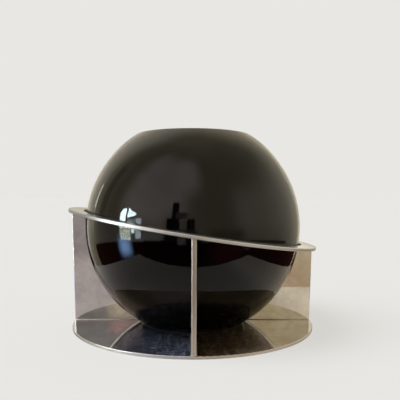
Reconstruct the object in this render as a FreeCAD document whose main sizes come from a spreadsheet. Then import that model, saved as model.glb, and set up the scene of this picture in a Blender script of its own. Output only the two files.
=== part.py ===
"""A smoked glass globe vase standing in a polished metal stand, in millimetres.

The stand is a round plate with four upright vanes set in a cross and a flat ring soldered on top of them.
The ring slopes down from -X to +X around the globe's equator. The globe is loose and lifts straight out.
The origin is the middle of the plate's underside, +Z is up, and -Y is the front.
"""

import FreeCAD, Part
import math
import os
import Sketcher
from FreeCAD import Placement, Rotation, Vector

# Driving dimensions. Heights of the vanes, ring and globe are measured from the plate's top face. The globe
# is a little fuller than a sphere at its shoulder and foot: its section is an upright ellipse. The vanes'
# inner arcs follow it with their centre vane_curve_offset beyond the upright axis.
DIMENSIONS = {
    "plate_radius": 115.0,
    "plate_thickness": 2.7,
    "vane_thickness": 3.8,
    "vane_foot_radius": 114.8,
    "vane_top_radius": 115.8,
    "vane_blank_height": 126.0,
    "vane_tip_height": 1.2,
    "vane_curve_offset": 1.5,
    "ring_thickness": 2.8,
    "ring_outer_radius": 116.0,
    "ring_inner_radius": 102.6,
    "ring_height": 91.7,
    "ring_tilt": 8.7,
    "metal_rounding": 0.55,
    "globe_radius": 101.2,
    "globe_half_height": 102.2,
    "globe_centre_height": 90.0,
    "globe_height": 177.3,
    "glass_wall": 5.0,
    "glass_floor": 7.0,
    "glass_base_rounding": 1.5,
    "glass_floor_rounding": 10.0,
}

# A vane is drawn pointing along +X, then turned about +Z. The ring's slope crosses it along the vane's length
# (XZ plane) or through its thickness (YZ plane), rising (1) or falling (-1) along that plane's first axis.
VANES = {
    "vane_right": (0, "XZ_Plane", -1),
    "vane_back": (90, "YZ_Plane", 1),
    "vane_left": (180, "XZ_Plane", 1),
    "vane_front": (270, "YZ_Plane", -1),
}

# Shares of a vane's blank that may be left under the ring. Outside them, the cut took the wrong side.
LEAST_KEPT, MOST_KEPT = 0.5, 0.95

TILT_SLOPE = "tan(Dims.ring_tilt * 1deg)"
TILT_COSINE = "cos(Dims.ring_tilt * 1deg)"
RING_UNDERSIDE = f"(Dims.ring_height - Dims.ring_thickness / {TILT_COSINE})"
RING_MIDDLE = f"(Dims.ring_height - Dims.ring_thickness / 2 / {TILT_COSINE})"

# Sketcher's numbers for the origin point, the two axes and the points of a line or an arc.
ORIGIN = (-1, 1)
H_AXIS, V_AXIS = -1, -2
START, END, CENTRE = 1, 2, 3

doc = FreeCAD.newDocument("globe_in_ring_stand")
sheet = doc.addObject("Spreadsheet::Sheet", "Dims")
for row, (alias, value) in enumerate(DIMENSIONS.items(), start=1):
    sheet.set(f"A{row}", alias)
    sheet.set(f"B{row}", str(value))
    sheet.setAlias(f"B{row}", alias)
doc.recompute()


def value_of(expression):
    """The plain value of an expression of the sheet's cells."""
    return float(sheet.evalExpression(expression))


def new_body(label):
    """An empty body whose label is its node's name."""
    body = doc.addObject("PartDesign::Body", label)
    body.Label = label
    return body


def new_sketch(body, name, plane):
    """A sketch on one of the body's own origin planes."""
    sketch = body.newObject("Sketcher::SketchObject", name)
    support = next(feature for feature in body.Origin.OriginFeatures if feature.Role == plane)
    sketch.AttachmentSupport = [(support, "")]
    sketch.MapMode = "FlatFace"
    return sketch


def dimension(sketch, name, kind, *where, size):
    """A named dimension of the sketch that follows an expression of the sheet's cells."""
    index = sketch.addConstraint(Sketcher.Constraint(kind, *where, value_of(size)))
    sketch.renameConstraint(index, name)
    sketch.setExpression(f"Constraints.{name}", size)


def relate(sketch, kind, *where):
    """A geometric relation of the sketch, with no size."""
    sketch.addConstraint(Sketcher.Constraint(kind, *where))


def add_lines(sketch, points):
    """Lines joined end to start through the points, left open at the last one. Returns their numbers."""
    lines = [
        sketch.addGeometry(Part.LineSegment(Vector(*start, 0), Vector(*end, 0)), False)
        for start, end in zip(points, points[1:])
    ]
    for first, second in zip(lines, lines[1:]):
        relate(sketch, "Coincident", first, END, second, START)
    return lines


def add_arc(sketch, centre, radius, first_angle, last_angle):
    """An arc that runs anticlockwise between two angles in radians."""
    circle = Part.Circle(Vector(*centre, 0), Vector(0, 0, 1), radius)
    return sketch.addGeometry(Part.ArcOfCircle(circle, first_angle, last_angle), False)


def add_pad(body, sketch, size):
    """A pad of that thickness, half to each side of its sketch."""
    pad = body.newObject("PartDesign::Pad", "pad")
    pad.Profile = sketch
    pad.SideType = "Symmetric"
    pad.setExpression("Length", size)
    doc.recompute()
    return pad


def add_rounding(body, feature, radius, is_rounded):
    """A fillet on the feature's edges that the test picks."""
    edges = [f"Edge{i}" for i, edge in enumerate(feature.Shape.Edges, start=1) if is_rounded(edge)]
    fillet = body.newObject("PartDesign::Fillet", "rounding")
    fillet.Base = (feature, edges)
    fillet.setExpression("Radius", radius)
    doc.recompute()
    return fillet


def is_outline(edge):
    """True for an edge that goes all the way round a flat sheet."""
    return edge.isClosed()


def is_upright(edge):
    """True for a vane's edge that climbs more than those under the ring and at the foot do."""
    shortest_climb = 5.0
    return edge.BoundBox.ZLength > shortest_climb and abs(edge.CenterOfMass.y) > 0.1


def make_plate():
    """The round plate. Its underside is at z = 0."""
    body = new_body("base_disc")
    sketch = new_sketch(body, "outline", "XY_Plane")
    radius = value_of("Dims.plate_radius")
    rim = sketch.addGeometry(Part.Circle(Vector(0, 0, 0), Vector(0, 0, 1), radius), False)
    relate(sketch, "Coincident", rim, CENTRE, *ORIGIN)
    dimension(sketch, "radius", "Radius", rim, size="Dims.plate_radius")
    pad = add_pad(body, sketch, "Dims.plate_thickness")
    add_rounding(body, pad, "Dims.metal_rounding", is_outline)
    body.setExpression("Placement.Base.z", "Dims.plate_thickness / 2")
    return body


def draw_vane(sketch):
    """A vane's blank: upright outer edge, and an inner edge that follows the globe up to its middle."""
    foot, top = value_of("Dims.vane_foot_radius"), value_of("Dims.vane_top_radius")
    inner, blank = value_of("Dims.ring_inner_radius"), value_of("Dims.vane_blank_height")
    middle, tip = value_of("Dims.globe_centre_height"), value_of("Dims.vane_tip_height")
    offset = value_of("Dims.vane_curve_offset")
    curve_radius = inner + offset
    tip_angle = -math.asin((middle - tip) / curve_radius)
    tip_radius = curve_radius * math.cos(tip_angle) - offset
    foot_line, outer, head, inner_line = add_lines(
        sketch, [(tip_radius, 0), (foot, 0), (top, blank), (inner, blank), (inner, middle)]
    )
    curve = add_arc(sketch, (-offset, middle), curve_radius, tip_angle, 0)
    (blunt,) = add_lines(sketch, [(tip_radius, tip), (tip_radius, 0)])

    relate(sketch, "Coincident", inner_line, END, curve, END)
    relate(sketch, "Coincident", curve, START, blunt, START)
    relate(sketch, "Coincident", blunt, END, foot_line, START)
    relate(sketch, "PointOnObject", foot_line, START, H_AXIS)
    relate(sketch, "PointOnObject", foot_line, END, H_AXIS)
    for line in (inner_line, blunt):
        relate(sketch, "Vertical", line)
    relate(sketch, "Horizontal", head)
    relate(sketch, "Horizontal", curve, CENTRE, curve, END)
    dimension(sketch, "foot_radius", "DistanceX", *ORIGIN, outer, START, size="Dims.vane_foot_radius")
    dimension(sketch, "top_radius", "DistanceX", *ORIGIN, outer, END, size="Dims.vane_top_radius")
    dimension(sketch, "blank_height", "DistanceY", *ORIGIN, outer, END, size="Dims.vane_blank_height")
    dimension(sketch, "curve_radius", "Radius", curve, size="Dims.ring_inner_radius + Dims.vane_curve_offset")
    dimension(sketch, "curve_offset", "DistanceX", curve, CENTRE, *ORIGIN, size="Dims.vane_curve_offset")
    dimension(sketch, "curve_height", "DistanceY", *ORIGIN, curve, CENTRE, size="Dims.globe_centre_height")
    dimension(sketch, "tip_height", "DistanceY", *ORIGIN, curve, START, size="Dims.vane_tip_height")


def draw_ring_seat(sketch, rise):
    """The space over the ring's underside, which slopes across the sketch."""
    reach = "Dims.ring_outer_radius * 1.1"
    left_height = f"{RING_UNDERSIDE} - {rise} * {TILT_SLOPE} * {reach}"
    right_height = f"{RING_UNDERSIDE} + {rise} * {TILT_SLOPE} * {reach}"
    over = "Dims.vane_blank_height * 1.1"
    half, top = value_of(reach), value_of(over)
    left, right = value_of(left_height), value_of(right_height)
    corners = [(-half, left), (half, right), (half, top), (-half, top), (-half, left)]
    seat, right_side, lid, left_side = add_lines(sketch, corners)

    relate(sketch, "Coincident", left_side, END, seat, START)
    relate(sketch, "Vertical", right_side)
    relate(sketch, "Vertical", left_side)
    relate(sketch, "Horizontal", lid)
    dimension(sketch, "left_reach", "DistanceX", seat, START, *ORIGIN, size=reach)
    dimension(sketch, "right_reach", "DistanceX", *ORIGIN, seat, END, size=reach)
    dimension(sketch, "left_height", "DistanceY", *ORIGIN, seat, START, size=left_height)
    dimension(sketch, "right_height", "DistanceY", *ORIGIN, seat, END, size=right_height)
    dimension(sketch, "lid_height", "DistanceY", *ORIGIN, lid, START, size=over)


def make_vane(label, turn, seat_plane, rise):
    """A flat vane that stands on the plate, cut off along the ring's underside."""
    body = new_body(label)
    outline = new_sketch(body, "outline", "XZ_Plane")
    draw_vane(outline)
    pad = add_pad(body, outline, "Dims.vane_thickness")

    seat = new_sketch(body, "ring_seat", seat_plane)
    draw_ring_seat(seat, rise)
    cut = body.newObject("PartDesign::Pocket", "cut_to_ring")
    cut.Profile = seat
    cut.SideType = "Symmetric"
    cut.Type = "ThroughAll"
    doc.recompute()
    if not LEAST_KEPT < cut.Shape.Volume / pad.Shape.Volume < MOST_KEPT:
        raise RuntimeError(f"{label}: the cut along the ring is on the wrong side")

    add_rounding(body, cut, "Dims.metal_rounding", is_upright)
    body.Placement = Placement(Vector(0, 0, 0), Rotation(Vector(0, 0, 1), turn))
    body.setExpression("Placement.Base.z", "Dims.plate_thickness")
    return body


def fix_ellipse(sketch, name, curve, direction, long_half, short_half):
    """Sizes an ellipse, or an arc of one, whose long axis is "Horizontal" or "Vertical"."""
    sketch.exposeInternalGeometry(curve)
    long_axis, short_axis = curve + 1, curve + 2
    relate(sketch, direction, long_axis)
    dimension(sketch, f"{name}_length", "Distance", long_axis, size=f"2 * ({long_half})")
    dimension(sketch, f"{name}_breadth", "Distance", short_axis, size=f"2 * ({short_half})")


def add_ellipse(sketch, name, half_width, half_depth):
    """An ellipse round the origin, wider along the sketch's horizontal axis."""
    width, depth = value_of(half_width), value_of(half_depth)
    curve = Part.Ellipse(Vector(width, 0, 0), Vector(0, depth, 0), Vector(0, 0, 0))
    ellipse = sketch.addGeometry(curve, False)
    relate(sketch, "Coincident", ellipse, CENTRE, *ORIGIN)
    fix_ellipse(sketch, name, ellipse, "Horizontal", half_width, half_depth)


def add_upright_arc(sketch, name, middle, half_width, half_height, low, high):
    """The right side of an upright ellipse centred over the origin, between the heights low and high."""
    width, height = value_of(half_width), value_of(half_height)
    curve = Part.Ellipse(Vector(0, middle + height, 0), Vector(-width, middle, 0), Vector(0, middle, 0))
    first, last = (1.5 * math.pi + math.asin((end - middle) / height) for end in (low, high))
    arc = sketch.addGeometry(Part.ArcOfEllipse(curve, first, last), False)
    fix_ellipse(sketch, name, arc, "Vertical", half_height, half_width)
    return arc


def make_ring():
    """The flat ring. It is an ellipse in its own plane, so that it is round when seen from above."""
    body = new_body("tilted_ring")
    sketch = new_sketch(body, "outline", "XY_Plane")
    for name in ("outer", "inner"):
        radius = f"Dims.ring_{name}_radius"
        add_ellipse(sketch, name, f"{radius} / {TILT_COSINE}", radius)
    pad = add_pad(body, sketch, "Dims.ring_thickness")
    add_rounding(body, pad, "Dims.metal_rounding", is_outline)
    body.Placement = Placement(Vector(0, 0, 0), Rotation(Vector(0, 1, 0), value_of("Dims.ring_tilt")))
    body.setExpression("Placement.Rotation.Angle", "Dims.ring_tilt * 1deg")
    body.setExpression("Placement.Base.z", f"Dims.plate_thickness + {RING_MIDDLE}")
    return body


def draw_globe(sketch):
    """Half of the globe's section: a flat base, an even wall, a round lip and a thicker flat floor."""
    wall, floor = value_of("Dims.glass_wall"), value_of("Dims.glass_floor")
    middle = value_of("Dims.globe_centre_height")
    outer_width, outer_height = value_of("Dims.globe_radius"), value_of("Dims.globe_half_height")
    inner_width, inner_height = outer_width - wall, outer_height - wall
    lip_climb = value_of("Dims.globe_height") - wall / 2 - middle
    lip_rise = lip_climb / (outer_height - wall / 2)
    lip_radius = (outer_width - wall / 2) * math.sqrt(1 - lip_rise ** 2)
    lip_angle = math.atan2(lip_climb * outer_width ** 2, lip_radius * outer_height ** 2)
    lip_reach = wall / 2 * math.sin(lip_angle)
    base_radius = outer_width * math.sqrt(1 - (middle / outer_height) ** 2)
    floor_radius = inner_width * math.sqrt(1 - ((middle - floor) / inner_height) ** 2)

    floor_line, axis_line, base_line = add_lines(
        sketch, [(floor_radius, floor), (0, floor), (0, 0), (base_radius, 0)]
    )
    lip_height = middle + lip_climb
    outside = add_upright_arc(
        sketch, "outside", middle, "Dims.globe_radius", "Dims.globe_half_height", 0, lip_height + lip_reach
    )
    lip = add_arc(sketch, (lip_radius, lip_height), wall / 2, lip_angle, lip_angle + math.pi)
    inside = add_upright_arc(
        sketch, "inside", middle, "Dims.globe_radius - Dims.glass_wall",
        "Dims.globe_half_height - Dims.glass_wall", floor, lip_height - lip_reach
    )

    relate(sketch, "Coincident", axis_line, END, *ORIGIN)
    relate(sketch, "Horizontal", base_line)
    relate(sketch, "Horizontal", floor_line)
    relate(sketch, "Vertical", axis_line)
    relate(sketch, "Coincident", base_line, END, outside, START)
    relate(sketch, "Coincident", floor_line, START, inside, START)
    relate(sketch, "Tangent", outside, END, lip, START)
    relate(sketch, "Tangent", lip, END, inside, END)
    relate(sketch, "PointOnObject", outside, CENTRE, V_AXIS)
    relate(sketch, "Coincident", inside, CENTRE, outside, CENTRE)
    dimension(
        sketch, "centre_height", "DistanceY", *ORIGIN, outside, CENTRE, size="Dims.globe_centre_height"
    )
    lip_size = "Dims.globe_height - Dims.glass_wall / 2"
    dimension(sketch, "lip_height", "DistanceY", *ORIGIN, lip, CENTRE, size=lip_size)
    dimension(sketch, "floor_height", "DistanceY", *ORIGIN, floor_line, END, size="Dims.glass_floor")


def circle_at(height):
    """A test that picks the round edge at that height."""
    return lambda edge: edge.isClosed() and abs(edge.CenterOfMass.z - height) < 0.01


def make_globe():
    """The glass vase. Its flat base stands on the plate."""
    body = new_body("glass_globe")
    sketch = new_sketch(body, "section", "XZ_Plane")
    draw_globe(sketch)
    turned = body.newObject("PartDesign::Revolution", "turned")
    turned.Profile = sketch
    turned.ReferenceAxis = (sketch, ["V_Axis"])
    turned.Angle = 360
    doc.recompute()
    based = add_rounding(body, turned, "Dims.glass_base_rounding", circle_at(0))
    add_rounding(body, based, "Dims.glass_floor_rounding", circle_at(value_of("Dims.glass_floor")))
    body.setExpression("Placement.Base.z", "Dims.plate_thickness")
    return body


bodies = [make_plate()]
bodies += [make_vane(label, *layout) for label, layout in VANES.items()]
bodies += [make_ring(), make_globe()]
doc.recompute()

for thing in doc.Objects:
    if "Invalid" in thing.State or "Error" in thing.State:
        raise RuntimeError(f"{thing.Name} ({thing.Label}) did not recompute: {thing.State}")
for body in bodies:
    if body.Shape.isNull() or not body.Shape.isValid() or len(body.Shape.Solids) != 1:
        raise RuntimeError(f"{body.Label} is not one sound solid")

os.makedirs("parts", exist_ok=True)
for body in bodies:
    body.Shape.exportStep(f"parts/{body.Label}.step")
    box = body.Shape.BoundBox
    print(
        f"{body.Label}: {body.Shape.Volume / 1000:.1f} cm3,"
        f" x {box.XMin:.2f} to {box.XMax:.2f}, y {box.YMin:.2f} to {box.YMax:.2f},"
        f" z {box.ZMin:.2f} to {box.ZMax:.2f}"
    )
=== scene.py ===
import math

import bpy
from mathutils import Matrix, Vector


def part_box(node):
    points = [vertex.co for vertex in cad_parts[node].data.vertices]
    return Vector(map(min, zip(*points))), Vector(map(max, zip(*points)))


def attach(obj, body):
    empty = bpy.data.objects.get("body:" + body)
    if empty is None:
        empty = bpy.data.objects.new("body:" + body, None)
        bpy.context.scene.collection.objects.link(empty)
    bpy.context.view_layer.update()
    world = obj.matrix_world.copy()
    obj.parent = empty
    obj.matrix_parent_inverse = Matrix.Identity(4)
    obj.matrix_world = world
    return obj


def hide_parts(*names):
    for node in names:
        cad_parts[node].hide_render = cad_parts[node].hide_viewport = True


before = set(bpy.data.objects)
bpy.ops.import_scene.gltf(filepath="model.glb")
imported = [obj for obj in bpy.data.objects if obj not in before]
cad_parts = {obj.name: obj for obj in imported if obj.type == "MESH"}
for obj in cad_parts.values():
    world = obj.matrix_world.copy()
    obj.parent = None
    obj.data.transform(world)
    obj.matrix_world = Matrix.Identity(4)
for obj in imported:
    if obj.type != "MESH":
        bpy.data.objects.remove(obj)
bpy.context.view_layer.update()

MM = 0.001
SCENE = bpy.context.scene

# ---------------------------------------------------------------- places read from the frame
PLATE_LOW, PLATE_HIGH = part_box("base_disc")
PLATE_RADIUS = (PLATE_HIGH.x - PLATE_LOW.x) / 2
PLATE_TOP = PLATE_HIGH.z
GLOBE_LOW, GLOBE_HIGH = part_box("glass_globe")
GLOBE_RADIUS = (GLOBE_HIGH.x - GLOBE_LOW.x) / 2
RING_LOW, RING_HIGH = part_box("tilted_ring")
RING_THICKNESS = 2.8 * MM

# ---------------------------------------------------------------- camera
CAMERA_PLACE = Vector((-0.0036, -0.4774, 0.1221))
CAMERA_TURN = 0.0217        # radians from +Y towards +X
CAMERA_DIP = 0.1161         # radians below the horizontal
CAMERA_ROLL = 0.005
CAMERA_LENS = 44.5
CAMERA_SENSOR = 36.0
CAMERA_SHIFT_UP = 0.1375


def add_camera():
    turn, dip, roll = CAMERA_TURN, CAMERA_DIP, CAMERA_ROLL
    forward = Vector((math.sin(turn) * math.cos(dip), math.cos(turn) * math.cos(dip), -math.sin(dip)))
    level = Vector((math.cos(turn), -math.sin(turn), 0))
    upward = level.cross(forward)
    right = math.cos(roll) * level + math.sin(roll) * upward
    top = math.cos(roll) * upward - math.sin(roll) * level
    data = bpy.data.cameras.new("camera")
    data.lens = CAMERA_LENS
    data.sensor_width = CAMERA_SENSOR
    data.shift_y = CAMERA_SHIFT_UP
    data.dof.use_dof = False
    data.clip_start = 0.01
    data.clip_end = 200
    camera = bpy.data.objects.new("camera", data)
    SCENE.collection.objects.link(camera)
    turned = Matrix((right, top, -forward)).transposed().to_4x4()
    camera.matrix_world = Matrix.Translation(CAMERA_PLACE) @ turned
    SCENE.camera = camera


add_camera()
SCENE.view_settings.view_transform = "Standard"


# ---------------------------------------------------------------- node helpers
class Graph:
    """Adds nodes to one node tree. A value given as a socket is linked, and any other is set."""

    def __init__(self, tree):
        self.tree = tree
        tree.nodes.clear()

    def node(self, kind, settings=None, **inputs):
        made = self.tree.nodes.new("ShaderNode" + kind)
        for name, value in (settings or {}).items():
            setattr(made, name, value)
        for name, value in inputs.items():
            self.feed(made.inputs[name.replace("_", " ")], value)
        return made

    def feed(self, socket, value):
        if isinstance(value, bpy.types.NodeSocket):
            self.tree.links.new(value, socket)
        elif value is not None:
            socket.default_value = value

    def math(self, operation, a, b=None, c=None):
        made = self.tree.nodes.new("ShaderNodeMath")
        made.operation = operation
        for socket, value in zip(made.inputs, (a, b, c)):
            self.feed(socket, value)
        return made.outputs[0]

    def step(self, value, low, high, start=0.0, end=1.0):
        """start below low, end above high, and a smooth change in between."""
        made = self.tree.nodes.new("ShaderNodeMapRange")
        made.interpolation_type = "SMOOTHSTEP"
        for socket, given in zip(made.inputs, (value, low, high, start, end)):
            self.feed(socket, given)
        return made.outputs[0]

    def mix(self, share, a, b, how="MIX"):
        made = self.tree.nodes.new("ShaderNodeMix")
        made.data_type = "RGBA"
        made.blend_type = how
        self.feed(made.inputs[0], share)
        self.feed(made.inputs[6], colour(a))
        self.feed(made.inputs[7], colour(b))
        return made.outputs[2]

    def ramp(self, value, stops):
        made = self.tree.nodes.new("ShaderNodeValToRGB")
        self.feed(made.inputs[0], value)
        points = made.color_ramp.elements
        while len(points) < len(stops):
            points.new(0.5)
        for point, (place, shade) in zip(points, stops):
            point.position = place
            point.color = colour(shade)
        return made.outputs[0]

    def noise(self, where, scale, detail=4.0, roughness=0.5, distortion=0.0):
        made = self.node("TexNoise", Vector=where, Scale=scale, Detail=detail,
                         Roughness=roughness, Distortion=distortion)
        return made.outputs[0]

    def dot(self, a, b):
        made = self.node("VectorMath", {"operation": "DOT_PRODUCT"})
        self.feed(made.inputs[0], a)
        self.feed(made.inputs[1], b)
        return made.outputs["Value"]

    def spread(self, where, stretch, turn=(0, 0, 0)):
        made = self.node("Mapping", Vector=where, Scale=stretch, Rotation=turn)
        return made.outputs[0]


def colour(value):
    if isinstance(value, bpy.types.NodeSocket):
        return value
    return (*value, 1.0) if len(value) == 3 else value


def new_material(name):
    material = bpy.data.materials.new(name)
    material.use_nodes = True
    return material, Graph(material.node_tree)


# ---------------------------------------------------------------- surroundings
# What the polished surfaces reflect is a plain room given by direction. Azimuth is 0 towards -Y, where
# the camera is, and grows towards +X; elevation is above the horizon; both in degrees.
PAPER_SEEN = (0.807, 0.799, 0.768)

PLASTER = (0.40, 0.36, 0.25)

# Surfaces of the room over bare plaster, then things in it. Each is azimuth from, to; elevation from, to;
# softness across and up in degrees; radiance.
ROOM_SURFACES = {
    "back_wall_left": (-200, -125, -5, 66, 14, 15, (0.90, 0.82, 0.66)),
    "back_wall_right": (140, 200, -5, 66, 25, 15, (0.85, 0.75, 0.55)),
    "right_wall": (45, 140, -5, 35, 12, 15, (0.72, 0.66, 0.52)),
    "window_wall": (-80, -8, 5, 72, 14, 14, (1.00, 0.87, 0.78)),
    "window_wall_top": (-30, 8, 38, 70, 12, 12, (1.00, 0.87, 0.78)),
    "wall_by_the_corner": (-30, 10, 0, 15, 10, 8, (0.46, 0.40, 0.30)),
    "low_wall_left": (-112, -85, -30, 2, 8, 5, (0.36, 0.31, 0.28)),
    "low_wall_front_left": (-75, -34, -30, 0, 12, 4, (0.60, 0.57, 0.53)),
    "dark_cupboard": (-30, 3, -30, 1, 2, 3, (0.05, 0.04, 0.04)),
    "dark_doorway": (15, 52, -30, 1, 8, 4, (0.26, 0.22, 0.16)),
    "ceiling": (-200, 200, 75, 100, 1, 8, (0.48, 0.42, 0.30)),
}

# Smaller things: the same, with one softness.
ROOM_THINGS = {
    "floor": (-124, 200, -95, -10, 0.8, (0.050, 0.018, 0.014)),
    "floor_in_shade": (-52, 14, -95, -9, 1.5, (0.020, 0.009, 0.009)),
    "red_gleam": (24, 52, -30, -10, 6.0, (0.11, 0.03, 0.025)),
    "pink_gleam": (53, 60, -16, -10, 2.5, (0.34, 0.24, 0.26)),
    "skirting": (30, 112, -10, -8.5, 0.6, (0.10, 0.08, 0.06)),
    "blue_glow_under_window": (-81, -68, -20, -7, 5.0, (2.2, 3.7, 6.6)),
    "person": (-27, -14, 1, 12, 1.0, (0.02, 0.02, 0.025)),
    "person_top": (-22, -15, 11, 27, 0.8, (0.04, 0.025, 0.02)),
    "second_person": (-7, 1.2, 1, 12, 1.0, (0.05, 0.035, 0.03)),
    "front_left_high": (-18, -6, 12.0, 18, 1.0, (0.180, 0.176, 0.168)),
    "front_left_pink": (-9.3, -6.6, 14.0, 15.4, 0.5, (0.33, 0.215, 0.198)),
    "front_left_cream": (-9.5, -5.0, 11.0, 13.7, 0.3, (0.44, 0.40, 0.29)),
    "front_left_low": (-16, -8, -13, -6, 1.5, (0.39, 0.35, 0.33)),
    "front_left": (-16, -8, -6, -1, 1.5, (0.28, 0.26, 0.25)),
    "front_right_low": (8, 16, -11, -7, 1.0, (0.37, 0.29, 0.21)),
    "front_right": (8, 16, -7.5, -2, 1.0, (0.41, 0.35, 0.26)),
    "bright_strip": (-128.5, -126.0, 7, 19, 0.9, (3.0, 2.9, 2.3)),
    "bright_strip_low": (-128.0, -126.5, -4, 7, 0.7, (1.3, 1.2, 0.9)),
    "bright_strip_high": (-128.2, -126.6, 19, 45, 0.7, (0.80, 0.76, 0.60)),
    "second_strip": (-123.0, -121.8, 4, 40, 0.5, (0.50, 0.47, 0.36)),
    "third_strip": (-118.5, -117.0, 5, 38, 0.5, (0.50, 0.47, 0.36)),
    "fourth_strip": (-114.8, -113.8, 5, 34, 0.4, (0.42, 0.39, 0.30)),
    "dark_curtain": (-114.5, -105, 5, 40, 2.0, (0.28, 0.25, 0.18)),
}

# Two slanting edges between the walls and the ceiling, through (azimuth, elevation) corners, and how much
# lighter the room is under the low one, between the two and over the high one.
SLANT_FROM, SLANT_TO = -84, -28
LOW_EDGE = ((-82, 31), (-61, 26), (-44, 21), (-31, 14))
HIGH_EDGE = ((-72, 47), (-60, 43), (-43, 37), (-33, 32), (-28, 27))
LIFT_UNDER, LIFT_BETWEEN, LIFT_OVER = (1.17, 1.16, 1.18), (1.03, 1.04, 1.05), (0.90, 0.90, 0.90)

# Panes of the arched window: azimuth from, to; elevation from, to; softness; share of the window's light.
WINDOW_LIGHT = (14.5, 17.5, 18.7)
WINDOW_PANES = {
    "left_leaf": (-80.6, -73.0, 1.2, 20, 0.5, 1.30),
    "right_leaf": (-71.2, -61.0, 8.0, 18, 0.5, 1.20),
    "right_leaf_low": (-70.5, -61.0, 4.2, 8.6, 0.6, 0.15),
    "right_strip": (-60.2, -54.0, -7.5, 10, 0.7, 0.30),
    "middle_square": (-65.6, -61.0, -3.2, 3.0, 0.5, 0.75),
}
LATTICE = (-79.0, -66.6, -8.6, 3.4)
LATTICE_GRAIN = 0.85
LATTICE_LIGHT = (19.0, 21.0, 16.5)
ARCH_TOP, ARCH_MIDDLE, ARCH_BEND = 16.4, -75.2, 0.16
WEDGE_START, WEDGE_LEVEL, WEDGE_HALF_HEIGHT, WEDGE_TAPER = -70.5, 12.9, 4.1, -0.32


def box_mask(graph, azimuth, elevation, edges, softness, upright=None):
    """1 inside the edges and 0 outside; upright is the softness of the low and high edges, if it differs."""
    west, east, low, high = edges
    upright = softness if upright is None else upright
    parts = (
        graph.step(azimuth, west - softness, west + softness),
        graph.step(azimuth, east - softness, east + softness, 1.0, 0.0),
        graph.step(elevation, low - upright, low + upright),
        graph.step(elevation, high - upright, high + upright, 1.0, 0.0),
    )
    mask = parts[0]
    for part in parts[1:]:
        mask = graph.math("MULTIPLY", mask, part)
    return mask


def add_window(graph, seen, azimuth, elevation):
    """The arched window: an arched left leaf, a right leaf that tapers away and leafy panes below."""
    aside = graph.math("SUBTRACT", azimuth, ARCH_MIDDLE)
    arch = graph.math("MULTIPLY_ADD", graph.math("MULTIPLY", aside, aside), -ARCH_BEND, ARCH_TOP)
    along = graph.math("SUBTRACT", azimuth, WEDGE_START)
    half = graph.math("MULTIPLY_ADD", along, WEDGE_TAPER, WEDGE_HALF_HEIGHT)
    away = graph.math("ABSOLUTE", graph.math("SUBTRACT", elevation, WEDGE_LEVEL))
    shapes = {
        "left_leaf": graph.step(graph.math("SUBTRACT", arch, elevation), 0.0, 1.0),
        "right_leaf": graph.step(graph.math("SUBTRACT", half, away), 0.0, 0.6),
    }
    for name, (west, east, low, high, softness, share) in WINDOW_PANES.items():
        pane = box_mask(graph, azimuth, elevation, (west, east, low, high), softness)
        if name in shapes:
            pane = graph.math("MULTIPLY", pane, shapes[name])
        seen = graph.mix(pane, seen, tuple(part * share for part in WINDOW_LIGHT))
    place = graph.node("CombineXYZ", X=azimuth, Y=elevation)
    leaves = graph.step(graph.noise(place.outputs[0], LATTICE_GRAIN, 1.0, 0.5), 0.51, 0.56)
    lattice = graph.math("MULTIPLY", box_mask(graph, azimuth, elevation, LATTICE, 0.5), leaves)
    return graph.mix(lattice, seen, LATTICE_LIGHT)


def over_edge(graph, round_room, elevation, corners):
    """0 under the slanting edge through the corners, 1 over it."""
    stops = [((at + 180) / 360, (height / 90,) * 3) for at, height in corners]
    level = graph.math("MULTIPLY", graph.ramp(round_room, stops), 90.0)
    return graph.step(graph.math("SUBTRACT", elevation, level), -0.8, 0.8)


def add_slanted_edges(graph, seen, azimuth, elevation, round_room):
    low = over_edge(graph, round_room, elevation, LOW_EDGE)
    high = over_edge(graph, round_room, elevation, HIGH_EDGE)
    lift = graph.mix(high, graph.mix(low, LIFT_UNDER, LIFT_BETWEEN), LIFT_OVER)
    mask = graph.step(azimuth, SLANT_FROM - 4, SLANT_FROM + 4)
    mask = graph.math("MULTIPLY", mask, graph.step(azimuth, SLANT_TO - 4, SLANT_TO + 4, 1.0, 0.0))
    return graph.mix(mask, seen, graph.mix(1.0, seen, lift, how="MULTIPLY"))


def add_world():
    world = bpy.data.worlds.new("room")
    SCENE.world = world
    world.use_nodes = True
    graph = Graph(world.node_tree)
    direction = graph.node("TexCoord").outputs["Generated"]
    axes = graph.node("SeparateXYZ", Vector=direction)
    to_degrees = 180 / math.pi
    backwards = graph.math("MULTIPLY", axes.outputs[1], -1.0)
    azimuth = graph.math("MULTIPLY", graph.math("ARCTAN2", axes.outputs[0], backwards), to_degrees)
    elevation = graph.math("MULTIPLY", graph.math("ARCSINE", axes.outputs[2]), to_degrees)
    round_room = graph.math("MULTIPLY_ADD", azimuth, 1 / 360, 0.5)
    seen = PLASTER
    for west, east, low, high, softness, upright, shade in ROOM_SURFACES.values():
        mask = box_mask(graph, azimuth, elevation, (west, east, low, high), softness, upright)
        seen = graph.mix(mask, seen, shade)
    seen = add_slanted_edges(graph, seen, azimuth, elevation, round_room)
    for west, east, low, high, softness, shade in ROOM_THINGS.values():
        mask = box_mask(graph, azimuth, elevation, (west, east, low, high), softness)
        seen = graph.mix(mask, seen, shade)
    seen = add_window(graph, seen, azimuth, elevation)
    straight = graph.node("LightPath").outputs["Is Camera Ray"]
    seen = graph.mix(straight, seen, PAPER_SEEN)
    light = graph.node("Background", Color=seen, Strength=1.0)
    graph.node("OutputWorld", Surface=light.outputs[0])


def link_mesh(name, mesh, material):
    made = bpy.data.objects.new(name, mesh)
    made.data.materials.append(material)
    SCENE.collection.objects.link(made)
    return made


def mesh_from(name, points, faces, smooth=False):
    mesh = bpy.data.meshes.new(name)
    mesh.from_pydata(points, [], faces)
    for face in mesh.polygons:
        face.use_smooth = smooth
    mesh.update()
    return mesh


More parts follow.
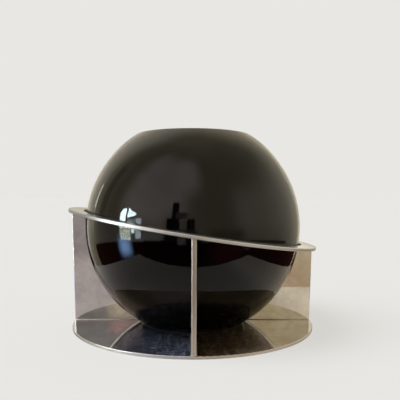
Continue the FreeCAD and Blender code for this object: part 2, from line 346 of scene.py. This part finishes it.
FLOOR_REACH = 60.0
FLOOR_DROP = 0.0001
FLOOR_MATTE = 0.15
FLOOR_GLOW = (0.7215, 0.7131, 0.6791)


def add_floor():
    material, graph = new_material("paper_floor")
    matte = graph.node("BsdfDiffuse", Color=colour((0.80, 0.80, 0.80)))
    glow = graph.node("Emission", Color=colour(FLOOR_GLOW), Strength=1.0)
    both = graph.node("MixShader", Fac=FLOOR_MATTE)
    graph.feed(both.inputs[1], glow.outputs[0])
    graph.feed(both.inputs[2], matte.outputs[0])
    graph.node("OutputMaterial", Surface=both.outputs[0])
    far = FLOOR_REACH
    corners = ((-far, -far), (far, -far), (far, far), (-far, far))
    points = [(x, y, -FLOOR_DROP) for x, y in corners]
    floor = link_mesh("floor", mesh_from("floor", points, [(0, 1, 2, 3)]), material)
    floor.visible_glossy = False
    floor.visible_transmission = False


SWEEP_HALF_WIDTH = 1.9 * PLATE_RADIUS
SWEEP_FRONT = -1.7 * PLATE_RADIUS
SWEEP_BACK = 1.12 * PLATE_RADIUS
SWEEP_TOP = 1.9 * PLATE_RADIUS
SWEEP_BEND = 0.15 * PLATE_RADIUS
SWEEP_STEPS = 12
# Painted light and shade of the paper across from left (0) to right (1): mostly darker in the middle, where
# the object shades it, with a few sharp painted reflections.
SWEEP_FRONT_SHADES = (
    (0.0, (0.46, 0.42, 0.40)), (0.25, (0.35, 0.32, 0.31)), (0.5, (0.31, 0.30, 0.27)),
    (0.70, (0.38, 0.36, 0.32)), (0.80, (0.59, 0.55, 0.49)), (1.0, (0.50, 0.45, 0.39)),
)
SWEEP_BACK_SHADES = (
    (0.0, (0.74, 0.69, 0.64)), (0.27, (0.40, 0.36, 0.34)), (0.285, (0.66, 0.60, 0.47)),
    (0.40, (0.60, 0.54, 0.42)), (0.65, (0.40, 0.34, 0.28)), (1.0, (0.70, 0.57, 0.43)),
)
SWEEP_WALL_SHADES = (
    (0.0, (1.00, 0.92, 0.76)), (0.24, (1.00, 0.92, 0.76)), (0.27, (0.50, 0.46, 0.40)),
    (0.5, (0.42, 0.38, 0.31)), (0.73, (0.36, 0.32, 0.24)), (0.76, (0.95, 0.87, 0.68)),
    (1.0, (0.85, 0.78, 0.62)),
)


def add_sweep():
    """The sheet of paper that the object stood on, as its polished surfaces see it: a glowing sheet with
    painted light and shade, seen only in reflections.
    """
    profile = [(SWEEP_FRONT, 0.0), (SWEEP_BACK - SWEEP_BEND, 0.0)]
    for i in range(1, SWEEP_STEPS + 1):
        angle = math.pi / 2 * i / SWEEP_STEPS
        y = SWEEP_BACK - SWEEP_BEND + SWEEP_BEND * math.sin(angle)
        profile.append((y, SWEEP_BEND * (1 - math.cos(angle))))
    profile.append((SWEEP_BACK, SWEEP_TOP))
    points, faces = [], []
    for y, z in profile:
        points += [(-SWEEP_HALF_WIDTH, y, z - 2 * FLOOR_DROP), (SWEEP_HALF_WIDTH, y, z - 2 * FLOOR_DROP)]
    for i in range(len(profile) - 1):
        faces.append((2 * i, 2 * i + 1, 2 * i + 3, 2 * i + 2))
    material, graph = new_material("paper_sweep")
    place = graph.node("SeparateXYZ", Vector=graph.node("TexCoord").outputs["Object"])
    aside = graph.math("MULTIPLY_ADD", place.outputs[0], 0.5 / SWEEP_HALF_WIDTH, 0.5)
    deep = graph.step(place.outputs[1], SWEEP_FRONT, SWEEP_BACK)
    table = graph.mix(deep, graph.ramp(aside, SWEEP_FRONT_SHADES), graph.ramp(aside, SWEEP_BACK_SHADES))
    wall = graph.step(place.outputs[2], 0.0, 0.7 * PLATE_RADIUS)
    shade = graph.mix(wall, table, graph.ramp(aside, SWEEP_WALL_SHADES))
    glow = graph.node("Emission", Color=shade, Strength=1.0)
    graph.node("OutputMaterial", Surface=glow.outputs[0])
    sweep = link_mesh("sweep", mesh_from("sweep", points, faces, smooth=True), material)
    sweep.visible_camera = False
    sweep.visible_diffuse = False
    sweep.visible_shadow = False
    sweep.visible_volume_scatter = False


SUN_FROM = (-0.55, -0.05, 0.83)
SUN_POWER = 3.9
SUN_WIDTH = math.radians(38)
SUN_TINT = (0.94, 0.98, 1.10)


def add_sun():
    """Soft light from the left. It only makes the floor's shadow: the surfaces reflect the room."""
    data = bpy.data.lights.new("soft_light", "SUN")
    data.energy = SUN_POWER
    data.angle = SUN_WIDTH
    data.color = SUN_TINT
    sun = bpy.data.objects.new("soft_light", data)
    sun.rotation_mode = "QUATERNION"
    sun.rotation_quaternion = Vector(SUN_FROM).to_track_quat("Z", "Y")
    sun.visible_glossy = False
    sun.visible_transmission = False
    SCENE.collection.objects.link(sun)


# ---------------------------------------------------------------- polished metal
def by_width(graph, place, stops):
    """A shade by the place along X, with stops at shares of the plate's radius from -1 to 1."""
    aside = graph.math("MULTIPLY_ADD", place.outputs[0], 0.5 / PLATE_RADIUS, 0.5)
    return graph.ramp(aside, [(0.5 + at / 2, shade) for at, shade in stops])


def metal_material(name, look):
    """Mirror-polished plate. The look's axis is the direction that the sheet's wide faces look along."""
    material, graph = new_material(name)
    axis = look["axis"]
    where = graph.node("TexCoord").outputs["Object"]
    place = graph.node("SeparateXYZ", Vector=where)
    normal = graph.node("NewGeometry").outputs["True Normal"]
    edge = graph.step(graph.math("ABSOLUTE", graph.dot(normal, axis)), 0.30, 0.98, 1.0, 0.0)

    clouds = graph.noise(where, 45.0, 5.0, 0.55, 0.4)
    blotch = graph.step(clouds, 0.40, 0.68)
    tint = graph.mix(blotch, look["clear"], look["stained"])
    mottles = graph.step(graph.noise(where, 160.0, 3.0, 0.6), 0.35, 0.65)
    tint = graph.mix(1.0, tint, graph.mix(mottles, (1.0, 1.0, 1.0), look["mottled"]), how="MULTIPLY")
    if "steep" in look:
        facing = graph.node("LayerWeight", Blend=0.5).outputs["Facing"]
        dulled = graph.mix(1.0, tint, look["steep"], how="MULTIPLY")
        tint = graph.mix(graph.step(facing, 0.30, 0.78), dulled, tint)
    # Painted shade along X on the wide faces, where a look gives it.
    if "face_painted_shade_by_width" in look:
        tint = graph.mix(1.0, tint, by_width(graph, place, look["face_painted_shade_by_width"]), how="MULTIPLY")

    # Polishing lines on the sheet's narrow edges run along the sheet.
    layer = graph.math("MULTIPLY", graph.dot(where, axis), LINES_PER_METRE)
    aside = graph.math("MULTIPLY", graph.math("ADD", place.outputs[0], place.outputs[1]), 12.0)
    lines = graph.noise(graph.node("CombineXYZ", X=layer, Y=aside).outputs[0], 1.0, 3.0, 0.6)
    edge_tint = graph.mix(graph.step(lines, 0.35, 0.65), look["edge_dark"], look["edge"])
    # Painted shade along X on the narrow edges, where a look gives it.
    if "edge_painted_shade_by_width" in look:
        edge_tint = graph.mix(1.0, edge_tint, by_width(graph, place, look["edge_painted_shade_by_width"]), how="MULTIPLY")
    tint = graph.mix(edge, tint, edge_tint)

    specks = graph.step(graph.noise(where, 900.0, 2.0, 0.6), 0.50, 0.72)
    scratch_a = graph.noise(graph.spread(where, (900.0, 30.0, 60.0), (0.3, 0.2, 0.5)), 1.0, 2.0, 0.5)
    scratch_b = graph.noise(graph.spread(where, (40.0, 800.0, 70.0), (0.1, 0.4, 0.9)), 1.0, 2.0, 0.5)
    fine = graph.math("ADD", graph.step(scratch_a, 0.62, 0.78), graph.step(scratch_b, 0.62, 0.78))
    bump = graph.node("Bump", Height=fine, Strength=0.03, Distance=0.0001)
    worn_down = graph.math("MULTIPLY", blotch, 0.03)
    face_rough = graph.math("ADD", worn_down, by_width(graph, place, look["rough"]))
    rough = graph.step(edge, 0.0, 1.0, face_rough, by_width(graph, place, look["edge_rough"]))
    mirror = graph.node("BsdfPrincipled", Base_Color=tint, Metallic=1.0, Roughness=rough,
                        Normal=bump.outputs[0])
    # The hazy layer is dust and fine wear; where its tint or share changes along X it also paints light and
    # shade.
    haze_and_painted_light_layer = graph.node("BsdfPrincipled", Base_Color=by_width(graph, place, look["haze_and_painted_light_tint"]), Metallic=0.0,
                      Roughness=0.8, Normal=bump.outputs[0])
    haze = look["haze"]
    share = graph.math("MULTIPLY_ADD", specks, 1.8 * haze, 0.6 * haze)
    # Haze on the narrow edges is wear, and on the ring also a painted highlight.
    edge_haze_and_painted_highlight = graph.math("MULTIPLY", edge, by_width(graph, place, look["edge_haze_and_painted_highlight"]))
    share = graph.math("ADD", share, edge_haze_and_painted_highlight)
    # Painted shade: more of the hazy layer at the ring's ends.
    if "tip_painted_shade" in look:
        share = graph.math("ADD", share, by_width(graph, place, look["tip_painted_shade"]))
    # Dust on the plate's front, and a painted highlight round the globe's foot.
    if "front_haze_and_foot_glint" in look:
        share = graph.math("ADD", share, front_haze_and_foot_glint(graph, where, place, look["front_haze_and_foot_glint"]))
    both = graph.node("MixShader", Fac=share)
    graph.feed(both.inputs[1], mirror.outputs[0])
    graph.feed(both.inputs[2], haze_and_painted_light_layer.outputs[0])
    graph.node("OutputMaterial", Surface=both.outputs[0])
    return material


def front_haze_and_foot_glint(graph, where, place, stops):
    """Dried polish on the plate's front half: speckles and short smears; and a painted highlight, a bright
    line round the globe's foot.
    """
    speckles = graph.step(graph.noise(where, 250.0, 5.0, 0.85), 0.42, 0.62, 0.1, 2.2)
    drawn_out = graph.noise(graph.spread(where, (260.0, 60.0, 60.0)), 1.0, 3.0, 0.6)
    smears = graph.step(drawn_out, 0.42, 0.70, 0.5, 1.7)
    front = graph.step(place.outputs[1], -0.45 * PLATE_RADIUS, -0.12 * PLATE_RADIUS, 1.0, 0.0)
    share = graph.math("MULTIPLY", graph.math("MULTIPLY", speckles, smears), front)
    share = graph.math("MULTIPLY", share, by_width(graph, place, stops))
    # Painted highlight: a thin bright line of haze where the glass stands on the plate.
    flat = graph.node("CombineXYZ", X=place.outputs[0], Y=place.outputs[1]).outputs[0]
    out = graph.node("VectorMath", {"operation": "LENGTH"})
    graph.feed(out.inputs[0], flat)
    foot = graph.math("SUBTRACT", out.outputs["Value"], FOOT_RADIUS)
    line = graph.step(graph.math("ABSOLUTE", foot), 0.3 * MM, 1.6 * MM, 0.10, 0.0)
    return graph.math("ADD", share, line)


def ring_axis():
    """The upright direction of the tilted ring, from its box: high on the left, low on the right."""
    lean = math.asin(min(1.0, (RING_HIGH.z - RING_LOW.z - RING_THICKNESS) / (RING_HIGH.x - RING_LOW.x)))
    return (math.sin(lean), 0.0, math.cos(lean))


LINES_PER_METRE = 750.0
FOOT_RADIUS = 50.0 * MM      # where the glass leaves the plate


def even(value):
    """The same number all the way across, as stops."""
    return ((-1.0, (value,) * 3), (1.0, (value,) * 3))


def across(*stops):
    """Stops of plain numbers at shares of the plate's radius."""
    return tuple((at, (value,) * 3) for at, value in stops)


PLAIN_HAZE = ((-1.0, (0.80, 0.78, 0.76)), (1.0, (0.80, 0.78, 0.76)))
SATIN_EDGE = {
    "edge": (0.95, 0.91, 0.87), "edge_dark": (0.70, 0.64, 0.60), "edge_rough": even(0.38),
    "edge_haze_and_painted_highlight": even(0.08),
}
# The side vanes' narrow edges are darker and less rough than the satin edges.
DARK_SIDE_VANE_EDGE = {
    "edge": (0.44, 0.41, 0.39), "edge_dark": (0.34, 0.32, 0.30), "edge_rough": even(0.18),
    "edge_haze_and_painted_highlight": even(0.06),
}
METAL_LOOKS = {
    "base_disc": {
        **SATIN_EDGE, "axis": (0, 0, 1), "haze": 0.019,
        "rough": across((-1.0, 0.025), (0.2, 0.03), (0.45, 0.075), (1.0, 0.06)),
        "clear": (0.76, 0.74, 0.72), "stained": (0.62, 0.57, 0.54), "mottled": (0.94, 0.94, 0.94),
        "steep": (0.38, 0.34, 0.30),
        # Painted light: the disc's haze is tinted cool blue on the left, as under window light, and warm on
        # the right.
        "haze_and_painted_light_tint": (
            (-0.62, (0.80, 0.78, 0.76)), (-0.48, (0.60, 0.68, 0.95)), (-0.01, (0.60, 0.68, 0.95)),
            (0.01, (1.0, 0.70, 0.42)), (0.7, (1.0, 0.75, 0.50)), (1.0, (0.80, 0.76, 0.70)),
        ),
        "front_haze_and_foot_glint": across(
            (-0.9, 0.0), (-0.6, 0.01), (-0.35, 0.011), (-0.05, 0.045), (0.0, 0.022), (0.2, 0.028),
            (0.4, 0.065), (0.7, 0.02)
        ),
        # Painted shade: the rim is darker in places along X, most at the left end.
        "edge_painted_shade_by_width": across(
            (-1.0, 0.30), (-0.85, 0.44), (-0.62, 1.0), (-0.3, 0.92), (0.1, 0.74), (0.5, 0.95),
            (0.8, 0.70), (1.0, 0.62)
        ),
    },
    "tilted_ring": {
        **SATIN_EDGE, "axis": ring_axis(), "haze": 0.065, "rough": even(0.14),
        # Painted shade: at both ends of the ring the hazy layer is nearly black and covers more, darkening
        # the ends.
        "haze_and_painted_light_tint": across((-1.0, 0.04), (-0.75, 0.10), (-0.6, 0.78), (0.8, 0.78), (1.0, 0.10)),
        "tip_painted_shade": across((-1.0, 0.30), (-0.75, 0.25), (-0.65, 0.0), (0.85, 0.0), (1.0, 0.15)),
        "clear": (0.72, 0.70, 0.68), "stained": (0.62, 0.59, 0.56), "mottled": (0.95, 0.95, 0.95),
        # Painted shade: the ring's faces darken towards both ends, bluish at the right end.
        "face_painted_shade_by_width": (
            (-1.0, (0.28, 0.31, 0.31)), (-0.8, (0.42, 0.46, 0.45)), (-0.4, (0.84, 0.86, 0.87)),
            (0.2, (1.0, 1.0, 1.0)), (0.75, (0.90, 0.90, 0.91)), (1.0, (0.34, 0.37, 0.46)),
        ),
        # Painted shade: the ring's outer edge darkens towards the left end.
        "edge_painted_shade_by_width": across(
            (-1.0, 0.60), (-0.8, 0.55), (-0.65, 0.45), (-0.45, 0.62), (-0.22, 0.80), (0.1, 1.0), (0.7, 1.0),
            (1.0, 0.84)
        ),
        # Painted highlight: the hazy layer covers more of the ring's outer edge right of the middle,
        # brightening it there.
        "edge_haze_and_painted_highlight": across((-0.5, 0.06), (0.05, 0.07), (0.15, 0.18), (0.3, 0.34), (0.5, 0.20), (0.8, 0.08)),
        "edge_rough": across((-0.3, 0.38), (0.0, 0.34), (0.2, 0.30), (0.4, 0.34), (0.6, 0.38)),
    },
    "vane_left": {
        **DARK_SIDE_VANE_EDGE, "axis": (0, 1, 0), "haze": 0.024, "rough": even(0.025), "haze_and_painted_light_tint": PLAIN_HAZE,
        "clear": (0.90, 0.86, 0.85), "stained": (0.76, 0.71, 0.71), "mottled": (0.93, 0.93, 0.92),
    },
    "vane_right": {
        **DARK_SIDE_VANE_EDGE, "axis": (0, 1, 0), "haze": 0.024, "rough": even(0.025), "haze_and_painted_light_tint": PLAIN_HAZE,
        "clear": (0.96, 0.90, 0.79), "stained": (0.86, 0.78, 0.64), "mottled": (0.93, 0.93, 0.92),
    },
    "vane_front": {
        **SATIN_EDGE, "axis": (1, 0, 0), "haze": 0.024, "rough": even(0.025), "haze_and_painted_light_tint": PLAIN_HAZE,
        "edge": (0.94, 0.81, 0.69), "edge_dark": (0.68, 0.55, 0.46),
        "clear": (0.90, 0.86, 0.81), "stained": (0.80, 0.75, 0.69), "mottled": (0.94, 0.94, 0.94),
    },
}
METAL_LOOKS["vane_back"] = METAL_LOOKS["vane_front"]


def dress_metal():
    for node, look in METAL_LOOKS.items():
        material = metal_material("metal_" + node, look)
        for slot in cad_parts[node].material_slots:
            slot.material = material


# ---------------------------------------------------------------- silver-solder seams
SEAM_SIZE = 0.75 * MM
SEAM_INSET = 0.6 * MM
SEAM_STEPS, SEAM_ARC_STEPS = 60, 6
SEAM_SWELLS = ((0.04, 110.0, 0.4), (0.02, 270.0, 1.9))


def seam_material():
    """Silver solder: duller than the plate, faintly lumpy and stained."""
    material, graph = new_material("silver_solder")
    where = graph.node("TexCoord").outputs["Object"]
    stains = graph.step(graph.noise(where, 260.0, 3.0, 0.6), 0.38, 0.66)
    tint = graph.mix(stains, (0.74, 0.70, 0.66), (0.60, 0.56, 0.52))
    rough = graph.math("MULTIPLY_ADD", stains, 0.10, 0.38)
    bump = graph.node("Bump", Height=graph.noise(where, 1400.0, 3.0, 0.6), Strength=0.06, Distance=0.0001)
    shader = graph.node("BsdfPrincipled", Base_Color=tint, Metallic=1.0, Roughness=rough,
                        Normal=bump.outputs[0])
    graph.node("OutputMaterial", Surface=shader.outputs[0])
    return material


def seam_points(start, end, half, side, along):
    """Sections of a hollow fillet on one side of a vane's foot, and the number of points in each."""
    points = []
    for i in range(SEAM_STEPS + 1):
        out = start + (end - start) * i / SEAM_STEPS
        swell = 1 + sum(share * math.sin(turns * out + side * shift) for share, turns, shift in SEAM_SWELLS)
        size = SEAM_SIZE * swell
        section = [(0.0, 0.0)]
        for j in range(SEAM_ARC_STEPS + 1):
            angle = -math.pi / 2 - math.pi / 2 * j / SEAM_ARC_STEPS
            section.append((size + size * math.cos(angle), size + size * math.sin(angle)))
        for aside, up in section:
            place = out * along + side * (half + aside) * Vector((-along.y, along.x, 0))
            points.append((place.x, place.y, PLATE_TOP + up))
    return points, SEAM_ARC_STEPS + 2


def seam_faces(first, count, side):
    """Faces of one fillet whose points start at that number, closed at both ends, all looking outward."""
    faces = []
    for i in range(SEAM_STEPS):
        a, b = first + i * count, first + (i + 1) * count
        faces += [(a + j, a + (j + 1) % count, b + (j + 1) % count, b + j) for j in range(count)]
    last = first + SEAM_STEPS * count
    for j in range(1, count - 1):
        faces += [(first, first + j + 1, first + j), (last, last + j, last + j + 1)]
    return [tuple(reversed(face)) for face in faces] if side < 0 else faces


def add_seams():
    """Solder along both sides of each vane's foot."""
    material = seam_material()
    for node in ("vane_right", "vane_back", "vane_left", "vane_front"):
        low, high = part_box(node)
        middle = (low + high) / 2
        along = Vector((middle.x, middle.y, 0)).normalized()
        half = min(high.x - low.x, high.y - low.y) / 2
        reach = (low.dot(along), high.dot(along))
        start = min(abs(part) for part in reach) + SEAM_INSET
        points, faces = [], []
        for side in (-1, 1):
            made, count = seam_points(start, PLATE_RADIUS - 2 * SEAM_INSET, half, side, along)
            faces += seam_faces(len(points), count, side)
            points += made
        seam = link_mesh("solder_" + node, mesh_from("solder_" + node, points, faces, smooth=True), material)
        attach(seam, "stand")


# ---------------------------------------------------------------- smoked glass
WALL = 5.0 * MM
GLASS_FLOOR = 7.0 * MM
BASE_ROUNDING = 1.5 * MM
FLOOR_ROUNDING = 10.0 * MM
GLOBE_CENTRE = PLATE_TOP + 90.0 * MM
HALF_HEIGHT = 102.2 * MM    # of the upright ellipse that is the globe's section
TURNS = 256


def on_ellipse(inset, angle):
    """Where the section's ellipse, made smaller by the inset, faces that angle from the outward axis."""
    width, height = GLOBE_RADIUS - inset, HALF_HEIGHT - inset
    size = math.hypot(width * math.cos(angle), height * math.sin(angle))
    return width ** 2 * math.cos(angle) / size, height ** 2 * math.sin(angle) / size


def at_height(inset, climb):
    """Which way that ellipse faces, and how far out it is, at a height over its middle."""
    width, height = GLOBE_RADIUS - inset, HALF_HEIGHT - inset
    out = width * math.sqrt(1 - (climb / height) ** 2)
    return math.atan2(climb * width ** 2, out * height ** 2), out


def between(start, end, steps):
    return [start + (end - start) * i / steps for i in range(steps + 1)]


def round_off(centre, radius, start, end, steps):
    """Points on a small arc in the (radius, height) half plane."""
    return [
        (centre[0] + radius * math.cos(angle), centre[1] + radius * math.sin(angle))
        for angle in between(start, end, steps)
    ]


def globe_profile():
    """The wall's closed outline, from the axis under the base, round the outside, over the lip and in."""
    low = GLOBE_LOW.z - GLOBE_CENTRE
    lip_height = GLOBE_HIGH.z - WALL / 2 - GLOBE_CENTRE
    lip_angle, lip_out = at_height(WALL / 2, lip_height)
    base_height = low + BASE_ROUNDING
    base_angle, base_out = at_height(BASE_ROUNDING, base_height)
    floor_height = low + GLASS_FLOOR + FLOOR_ROUNDING
    floor_angle, floor_out = at_height(WALL + FLOOR_ROUNDING, floor_height)
    outline = [(base_out * share, low) for share in (0.25, 0.5, 0.75)]
    outline += round_off((base_out, base_height), BASE_ROUNDING, -math.pi / 2, base_angle, 8)
    outline += [on_ellipse(0.0, angle) for angle in between(base_angle, lip_angle, 150)[1:]]
    outline += round_off((lip_out, lip_height), WALL / 2, lip_angle, lip_angle + math.pi, 20)[1:-1]
    outline += [on_ellipse(WALL, angle) for angle in between(lip_angle, floor_angle, 120)]
    outline += round_off((floor_out, floor_height), FLOOR_ROUNDING, floor_angle, -math.pi / 2, 16)[1:]
    outline += [(floor_out * share, low + GLASS_FLOOR) for share in (0.66, 0.33)]
    return [(r, z + GLOBE_CENTRE) for r, z in outline], low + GLOBE_CENTRE, low + GLASS_FLOOR + GLOBE_CENTRE


def lathe(name, outline, bottom, top):
    """A closed solid of revolution about Z; bottom and top are the heights where it meets the axis."""
    points = [(0, 0, bottom)]
    for r, z in outline:
        points += [
            (r * math.cos(2 * math.pi * k / TURNS), r * math.sin(2 * math.pi * k / TURNS), z)
            for k in range(TURNS)
        ]
    points.append((0, 0, top))
    last = len(points) - 1
    faces = []
    for k in range(TURNS):
        after = (k + 1) % TURNS
        faces.append((0, 1 + after, 1 + k))
        for i in range(len(outline) - 1):
            a, b = 1 + i * TURNS, 1 + (i + 1) * TURNS
            faces.append((a + k, a + after, b + after, b + k))
        a = 1 + (len(outline) - 1) * TURNS
        faces.append((a + k, a + after, last))
    return mesh_from(name, points, faces, smooth=True)


def glass_material():
    material, graph = new_material("smoked_glass")
    where = graph.node("TexCoord").outputs["Object"]
    waves = graph.noise(where, 14.0, 2.0, 0.4)
    bump = graph.node("Bump", Height=waves, Strength=0.05, Distance=0.002)
    smears = graph.noise(graph.spread(where, (30.0, 30.0, 12.0)), 1.0, 4.0, 0.6)
    rough = graph.step(smears, 0.45, 0.75, 0.0, 0.012)
    tone = graph.mix(smears, (0.98, 0.98, 0.97), (1.0, 1.0, 1.0))
    shader = graph.node("BsdfPrincipled", Base_Color=tone, Roughness=rough, Normal=bump.outputs[0],
                        IOR=1.5, Transmission_Weight=1.0)
    smoke = graph.node("VolumeAbsorption", Color=colour((0.14, 0.12, 0.03)), Density=1000.0)
    graph.node("OutputMaterial", Surface=shader.outputs[0], Volume=smoke.outputs[0])
    return material


def add_globe():
    outline, bottom, top = globe_profile()
    globe = link_mesh("smoked_globe", lathe("smoked_globe", outline, bottom, top), glass_material())
    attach(globe, "globe")
    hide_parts("glass_globe")


add_world()
add_floor()
add_sweep()
add_sun()
dress_metal()
add_seams()
add_globe()
